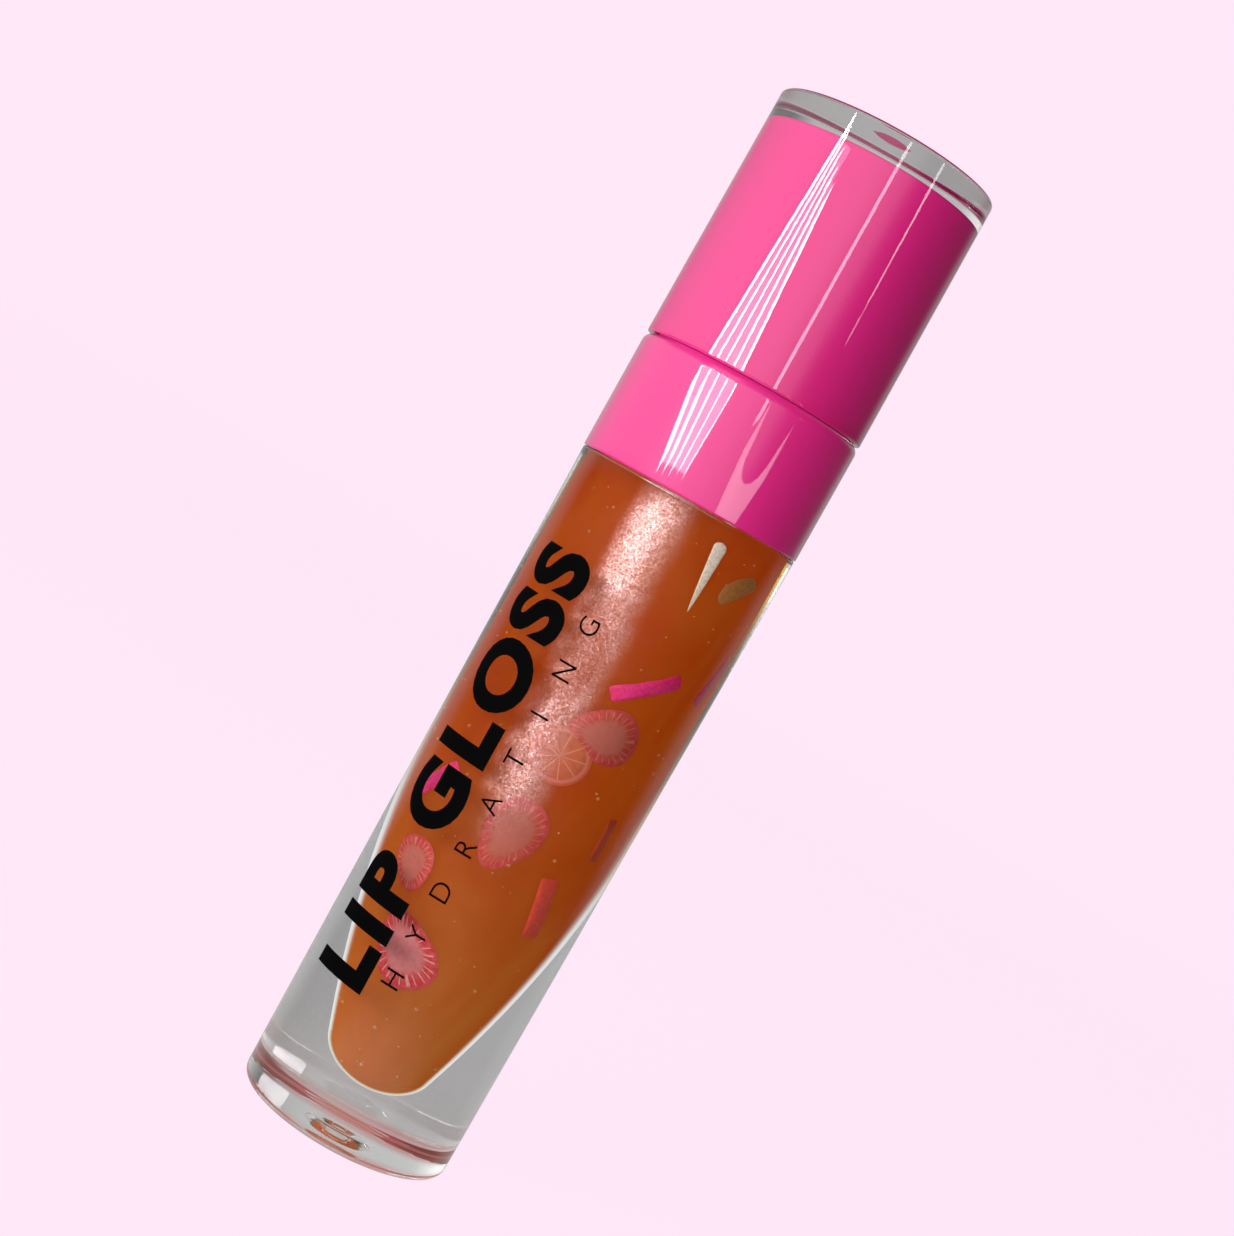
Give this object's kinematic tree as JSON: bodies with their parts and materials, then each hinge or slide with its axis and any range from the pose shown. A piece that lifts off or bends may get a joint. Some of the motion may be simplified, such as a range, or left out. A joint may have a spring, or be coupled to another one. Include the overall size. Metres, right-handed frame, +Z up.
{
  "type": "lip gloss tube",
  "caption": "Clear thick-walled round tube of amber gloss with fruit slices, a pink collar, and a pink-lined clear screw cap carrying the wand.",
  "frame": {"origin": "centre of the base, on the plane that the tube stands on", "axes": "+Z up the tube's axis towards the cap; -Y is the front, from which the printed side shows to the left"},
  "size_m": [0.022, 0.022, 0.1019],
  "materials": {
    "clear_plastic": "polished clear copolyester",
    "pink_plastic": "high-gloss moulded",
    "amber_gloss": "viscous translucent gloss with pink pearl shimmer",
    "white_plastic": "natural moulded",
    "wiper_plastic": "soft, milky",
    "liner_foam": "foamed",
    "applicator_flock": "short flock",
    "strawberry_clay": "sliced polymer clay",
    "orange_clay": "sliced polymer clay",
    "lemon_clay": "sliced polymer clay",
    "stick_clay": "sliced polymer clay"
  },
  "bodies": {
    "tube": {"bottle": "clear_plastic", "collar_ring": "pink_plastic", "wiper": "wiper_plastic", "gloss_fill": "amber_gloss", "strawberry_slice_1": "strawberry_clay", "strawberry_slice_2": "strawberry_clay", "strawberry_slice_3": "strawberry_clay", "strawberry_slice_4": "strawberry_clay", "strawberry_slice_5": "strawberry_clay", "orange_slice_1": "orange_clay", "orange_slice_2": "orange_clay", "lemon_wedge_1": "lemon_clay", "fruit_stick_1": "stick_clay", "fruit_stick_2": "stick_clay", "fruit_stick_3": "stick_clay", "fruit_stick_4": "stick_clay", "fruit_stick_5": "stick_clay", "fruit_stick_6": "stick_clay"},
    "liner": {"cap_liner": "liner_foam"},
    "stem": {"wand_stem": "white_plastic"},
    "cap": {"applicator_tip": "applicator_flock", "wand_holder": "white_plastic", "inner_cap": "pink_plastic", "outer_cap": "clear_plastic"}
  },
  "joints": [
    {"name": "cap_lift_off", "type": "slide", "parent": "tube", "child": "liner", "axis": [0, 0, 1], "range_m": [0, 0.068]},
    {"name": "cap_rise", "type": "slide", "parent": "liner", "child": "stem", "axis": [0, 0, 1], "range_m": [0, 0.0045]},
    {"name": "cap_turn", "type": "hinge", "parent": "stem", "child": "cap", "pos_m": [0, 0, 0.07735], "axis": [0, 0, 1], "range_deg": [0, 540]}
  ],
  "couplings": [
    {"joint": "cap_rise", "follows": "cap_turn", "m_per_rad": 0.00047746}
  ]
}
